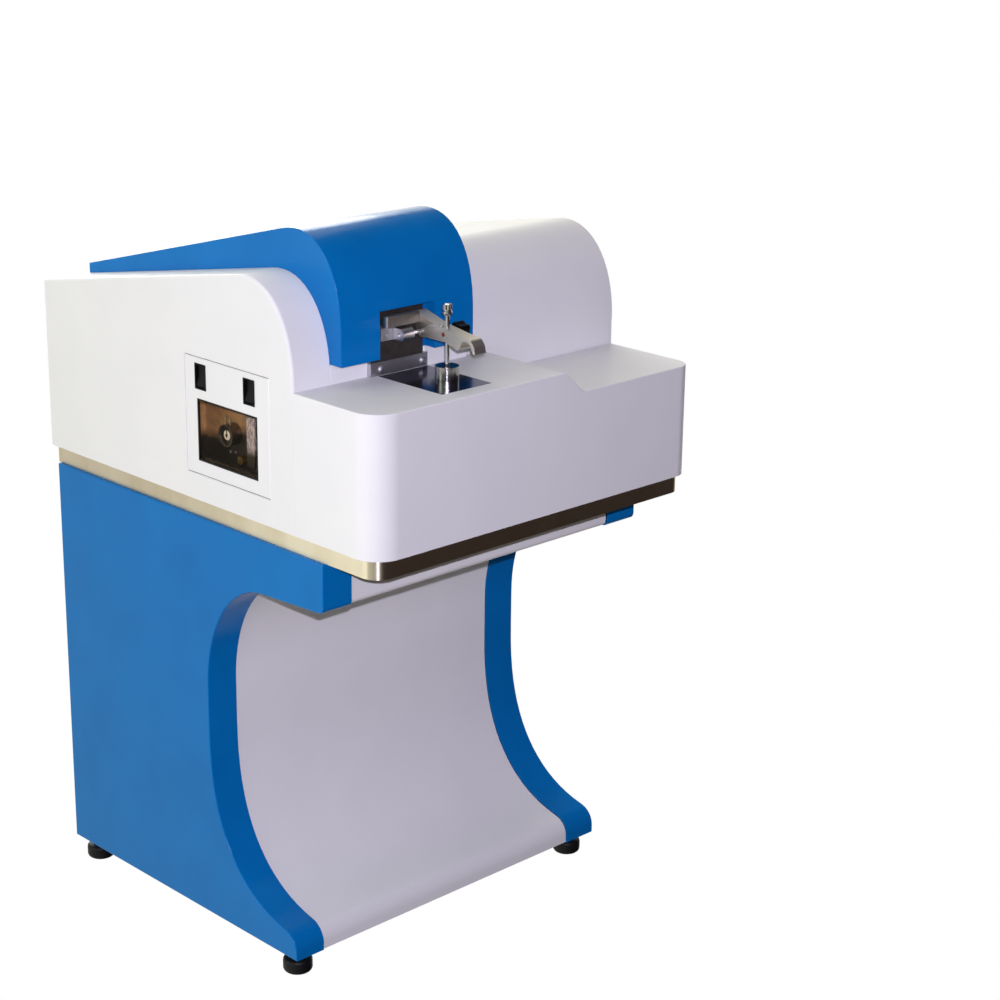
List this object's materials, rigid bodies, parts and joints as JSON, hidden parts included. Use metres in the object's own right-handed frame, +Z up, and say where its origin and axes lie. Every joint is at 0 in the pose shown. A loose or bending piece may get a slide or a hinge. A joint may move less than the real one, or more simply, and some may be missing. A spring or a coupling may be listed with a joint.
{
  "type": "optical emission spectrometer",
  "caption": "Free-standing optical emission spectrometer: sample clamp over a spark table, curved hood and shells on a hollow-fronted stand.",
  "frame": {"origin": "on the floor, under the middle of the bounding box", "axes": "+Z up, -Y towards the user at the front, +X to the user's right"},
  "size_m": [0.655, 0.79, 1.1558],
  "materials": {
    "blue_paint": "glossy powder coat",
    "white_paint": "glossy powder coat",
    "brushed_steel": "brushed along its length",
    "polished_steel": "polished",
    "satin_steel": "turned and ground, satin",
    "cast_aluminium": "satin nickel plated",
    "dark_steel": "dark matt paint",
    "black_plastic": "moulded, half gloss",
    "black_rubber": "matt",
    "smoked_acrylic": "smoked, clear, polished",
    "clear_acrylic": "clear, polished",
    "bronze_enamel": "half gloss enamel",
    "copper": "turned copper",
    "brass": "turned",
    "ceramic": "fired white ceramic",
    "grating_mirror": "ruled mirror coating",
    "board": "sealed fibreboard",
    "grey_enamel": "half gloss enamel"
  },
  "bodies": {
    "frame": {"stand_casing_left": "blue_paint", "stand_casing_right": "blue_paint", "hood": "blue_paint", "stand_apron": "white_paint", "stand_front_panel": "white_paint", "stand_back_panel": "white_paint", "left_shell": "white_paint", "right_shell": "white_paint", "front_cover": "white_paint", "fascia_panel": "white_paint", "control_panel": "white_paint", "rear_panel": "white_paint", "steel_edge_band": "brushed_steel", "spark_plate": "polished_steel", "pivot_shaft": "polished_steel", "clamp_mount_plate": "satin_steel", "hinge_block": "satin_steel", "spark_electrode": "satin_steel", "pressure_gauge": "satin_steel", "clamp_crossbar": "cast_aluminium", "spark_stand_body": "cast_aluminium", "optics_chamber": "cast_aluminium", "optics_chamber_lid": "cast_aluminium", "clamp_back_plate": "dark_steel", "light_tube": "dark_steel", "grating_mount": "dark_steel", "focal_plate": "dark_steel", "power_switch_frame": "black_plastic", "pump_switch_frame": "black_plastic", "fan_frame": "black_plastic", "power_inlet": "black_plastic", "window_gasket": "black_rubber", "vacuum_hose": "black_rubber", "window_pane": "smoked_acrylic", "flow_meter": "clear_acrylic", "gas_panel_bracket": "bronze_enamel", "argon_inlet": "brass", "electrode_insulator": "ceramic", "grating": "grating_mirror", "table_board": "board", "stand_floor_plate": "grey_enamel", "spark_source": "grey_enamel", "vacuum_pump": "grey_enamel"},
    "arm": {"clamp_arm": "cast_aluminium", "rod_set_screw": "copper", "torsion_spring": "polished_steel"},
    "rod": {"press_rod": "polished_steel"},
    "lock_knob": {"rod_lock_knob": "black_plastic"},
    "sample": {"sample_puck": "satin_steel"},
    "power_rocker": {"power_switch_rocker": "black_plastic"},
    "pump_rocker": {"pump_switch_rocker": "black_plastic"},
    "fan": {"fan_rotor": "black_plastic"},
    "needle": {"gauge_needle": "black_plastic"},
    "float": {"flow_float": "polished_steel"},
    "valve": {"gas_valve_knob": "brass"},
    "foot_front_left": {"levelling_foot_front_left": "black_rubber"},
    "foot_front_right": {"levelling_foot_front_right": "black_rubber"},
    "foot_back_left": {"levelling_foot_back_left": "black_rubber"},
    "foot_back_right": {"levelling_foot_back_right": "black_rubber"}
  },
  "joints": [
    {"name": "arm_lift", "type": "hinge", "parent": "frame", "child": "arm", "pos_m": [-0.111, -0.259, 1.0055], "axis": [-1, 0, 0], "range_deg": [0, 40]},
    {"name": "rod_slide", "type": "slide", "parent": "arm", "child": "rod", "axis": [0, 0, 1], "range_m": [0, 0.012]},
    {"name": "lock_knob_turn", "type": "hinge", "parent": "arm", "child": "lock_knob", "pos_m": [-0.0875, -0.305, 1.0083], "axis": [1, 0, 0], "range_deg": [0, 360]},
    {"name": "sample_slide", "type": "slide", "parent": "frame", "child": "sample", "axis": [1, 0, 0], "range_m": [-0.02, 0.06]},
    {"name": "power_rocker_tilt", "type": "hinge", "parent": "frame", "child": "power_rocker", "pos_m": [-0.3197, -0.006, 0.923], "axis": [0, -1, 0], "range_deg": [0, 13]},
    {"name": "pump_rocker_tilt", "type": "hinge", "parent": "frame", "child": "pump_rocker", "pos_m": [-0.3197, -0.1205, 0.923], "axis": [0, -1, 0], "range_deg": [0, 13]},
    {"name": "fan_spin", "type": "hinge", "parent": "frame", "child": "fan", "pos_m": [-0.0775, 0.357, 0.8805], "axis": [0, 1, 0], "continuous": true},
    {"name": "needle_swing", "type": "hinge", "parent": "frame", "child": "needle", "pos_m": [-0.2995, -0.031, 0.834], "axis": [1, 0, 0], "range_deg": [-135, 135], "stiffness_Nm_per_rad": 0.0005},
    {"name": "float_rise", "type": "slide", "parent": "frame", "child": "float", "axis": [0, 0, 1], "range_m": [0, 0.05]},
    {"name": "valve_turn", "type": "hinge", "parent": "frame", "child": "valve", "pos_m": [-0.2905, -0.059, 0.8], "axis": [1, 0, 0], "range_deg": [0, 270]},
    {"name": "foot_front_left_turn", "type": "hinge", "parent": "frame", "child": "foot_front_left", "pos_m": [-0.2945, -0.171, 0.03], "axis": [0, 0, 1], "range_deg": [-360, 360]},
    {"name": "foot_front_right_turn", "type": "hinge", "parent": "frame", "child": "foot_front_right", "pos_m": [0.3035, -0.171, 0.03], "axis": [0, 0, 1], "range_deg": [-360, 360]},
    {"name": "foot_back_left_turn", "type": "hinge", "parent": "frame", "child": "foot_back_left", "pos_m": [-0.2945, 0.357, 0.03], "axis": [0, 0, 1], "range_deg": [-360, 360]},
    {"name": "foot_back_right_turn", "type": "hinge", "parent": "frame", "child": "foot_back_right", "pos_m": [0.3035, 0.357, 0.03], "axis": [0, 0, 1], "range_deg": [-360, 360]}
  ]
}
